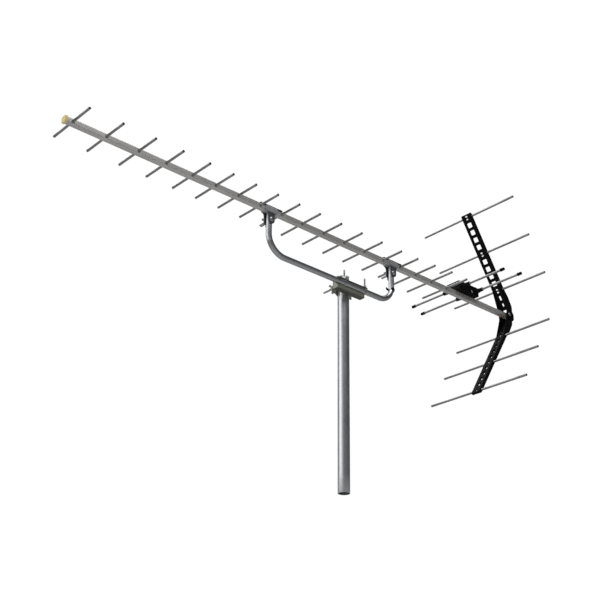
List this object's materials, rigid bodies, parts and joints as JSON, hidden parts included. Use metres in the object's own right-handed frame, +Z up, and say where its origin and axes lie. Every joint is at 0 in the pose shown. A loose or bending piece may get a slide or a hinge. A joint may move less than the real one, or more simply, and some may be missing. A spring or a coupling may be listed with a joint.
{
  "type": "yagi antenna",
  "caption": "UHF television yagi on a mast stub: square boom with crossing rods, feed box, folding corner reflector, bent support arm and mast clamp.",
  "frame": {"origin": "middle of the mast's foot, on the mast's axis", "axes": "+Z up along the mast; +X along the boom towards the end that faces the transmitter; +Y across, on the side of the mast where the boom is, rods lie along Y"},
  "size_m": [1.5885, 0.393, 0.9819],
  "materials": {
    "galvanised": "satin zinc",
    "plated": "dull zinc plate",
    "aluminium": "satin",
    "black_plastic": "fine grain",
    "yellow_plastic": "satin",
    "brass": "passivated",
    "board": "solder mask"
  },
  "bodies": {
    "mast": {"mast_pipe": "galvanised"},
    "bracket": {"mast_bracket": "plated", "mast_jaw": "plated", "mast_bolt_front": "plated", "mast_bolt_rear": "plated", "arm_loop_front": "plated", "arm_loop_rear": "plated"},
    "antenna": {"support_arm": "galvanised", "boom_clamp_front": "plated", "boom_clamp_rear": "plated", "clamp_bolt_front": "plated", "clamp_bolt_rear": "plated", "coax_socket": "plated", "feed_box_screw": "plated", "reflector_pivot_pin": "plated", "boom": "aluminium", "director_01": "aluminium", "director_02": "aluminium", "director_03": "aluminium", "director_04": "aluminium", "director_05": "aluminium", "director_06": "aluminium", "director_07": "aluminium", "director_08": "aluminium", "director_09": "aluminium", "director_10": "aluminium", "director_11": "aluminium", "director_12": "aluminium", "director_13": "aluminium", "director_14": "aluminium", "director_15": "aluminium", "director_16": "aluminium", "director_17": "aluminium", "director_18": "aluminium", "radiator_front_left": "aluminium", "radiator_front_right": "aluminium", "radiator_rear_left": "aluminium", "radiator_rear_right": "aluminium", "cable_clip": "black_plastic", "feed_box_base": "black_plastic", "reflector_hub": "black_plastic", "boom_front_cap": "yellow_plastic", "hub_screw": "brass", "balun_board": "board"},
    "upper_reflector": {"reflector_arm_upper": "black_plastic", "reflector_rod_upper_1": "aluminium", "reflector_rod_upper_2": "aluminium", "reflector_rod_upper_3": "aluminium"},
    "lower_reflector": {"reflector_arm_lower": "black_plastic", "reflector_rod_lower_1": "aluminium", "reflector_rod_lower_2": "aluminium", "reflector_rod_lower_3": "aluminium"},
    "feed_cover": {"feed_box_cover": "black_plastic"},
    "mast_wing_nut_front_body": {"mast_wing_nut_front": "plated"},
    "mast_wing_nut_rear_body": {"mast_wing_nut_rear": "plated"},
    "arm_wing_nut_front_body": {"arm_wing_nut_front": "plated"},
    "arm_wing_nut_rear_body": {"arm_wing_nut_rear": "plated"},
    "clamp_wing_nut_front_body": {"clamp_wing_nut_front": "plated"},
    "clamp_wing_nut_rear_body": {"clamp_wing_nut_rear": "plated"}
  },
  "joints": [
    {"name": "mast_swivel", "type": "hinge", "parent": "mast", "child": "bracket", "pos_m": [0, 0, 0.603], "axis": [0, 0, 1], "continuous": true},
    {"name": "arm_roll", "type": "hinge", "parent": "bracket", "child": "antenna", "pos_m": [0, 0.0322, 0.5654], "axis": [1, 0, 0], "range_deg": [-90, 0]},
    {"name": "upper_reflector_fold", "type": "hinge", "parent": "antenna", "child": "upper_reflector", "pos_m": [-0.6585, 0.0322, 0.684], "axis": [0, 1, 0], "range_deg": [0, 35]},
    {"name": "lower_reflector_fold", "type": "hinge", "parent": "antenna", "child": "lower_reflector", "pos_m": [-0.6585, 0.0322, 0.684], "axis": [0, -1, 0], "range_deg": [0, 35]},
    {"name": "feed_cover_hinge", "type": "hinge", "parent": "antenna", "child": "feed_cover", "pos_m": [-0.4635, 0.0062, 0.7133], "axis": [1, 0, 0], "range_deg": [0, 110]},
    {"name": "mast_wing_nut_front_turn", "type": "hinge", "parent": "bracket", "child": "mast_wing_nut_front_body", "pos_m": [0.03, -0.0086, 0.5625], "axis": [0, -1, 0], "continuous": true},
    {"name": "mast_wing_nut_rear_turn", "type": "hinge", "parent": "bracket", "child": "mast_wing_nut_rear_body", "pos_m": [-0.03, -0.0086, 0.5625], "axis": [0, -1, 0], "continuous": true},
    {"name": "arm_wing_nut_front_turn", "type": "hinge", "parent": "bracket", "child": "arm_wing_nut_front_body", "pos_m": [0.027, 0.0322, 0.5773], "axis": [0, 0, 1], "continuous": true},
    {"name": "arm_wing_nut_rear_turn", "type": "hinge", "parent": "bracket", "child": "arm_wing_nut_rear_body", "pos_m": [-0.0495, 0.0322, 0.5773], "axis": [0, 0, 1], "continuous": true},
    {"name": "clamp_wing_nut_front_turn", "type": "hinge", "parent": "antenna", "child": "clamp_wing_nut_front_body", "pos_m": [0.2935, 0.0218, 0.655], "axis": [0, -1, 0], "continuous": true},
    {"name": "clamp_wing_nut_rear_turn", "type": "hinge", "parent": "antenna", "child": "clamp_wing_nut_rear_body", "pos_m": [-0.1545, 0.0218, 0.655], "axis": [0, -1, 0], "continuous": true}
  ]
}
